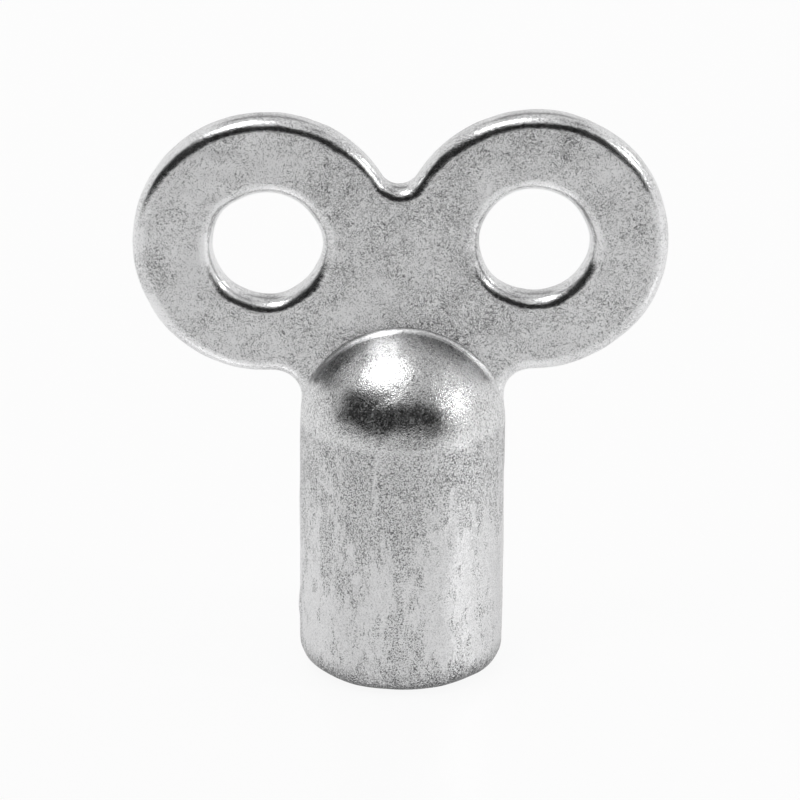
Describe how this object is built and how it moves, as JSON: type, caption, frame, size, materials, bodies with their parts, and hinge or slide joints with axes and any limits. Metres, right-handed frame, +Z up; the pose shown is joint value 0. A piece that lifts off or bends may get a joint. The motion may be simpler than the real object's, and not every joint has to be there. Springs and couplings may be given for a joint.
{
  "type": "radiator bleed key",
  "caption": "Small metal key with a flat bow of round eyed lobes on a domed round barrel whose open end has a square socket, for turning a radiator's air vent.",
  "frame": {"origin": "centre of the barrel's open end, on the plane of its mouth", "axes": "+Z up the barrel's axis towards the bow, +X across the bow, +Y through the bow's thickness"},
  "size_m": [0.0254, 0.01, 0.028],
  "materials": {
    "plated_bow": "tumbled and bright plated, satin faces with polished edges",
    "plated_barrel": "cast skin, bright plated, dull mottled side and glossy dome",
    "plated_filler": "smooth, bright plated"
  },
  "bodies": {
    "root": {"bow_plate": "plated_bow", "socket_barrel": "plated_barrel", "joint_filler": "plated_filler"}
  },
  "joints": []
}
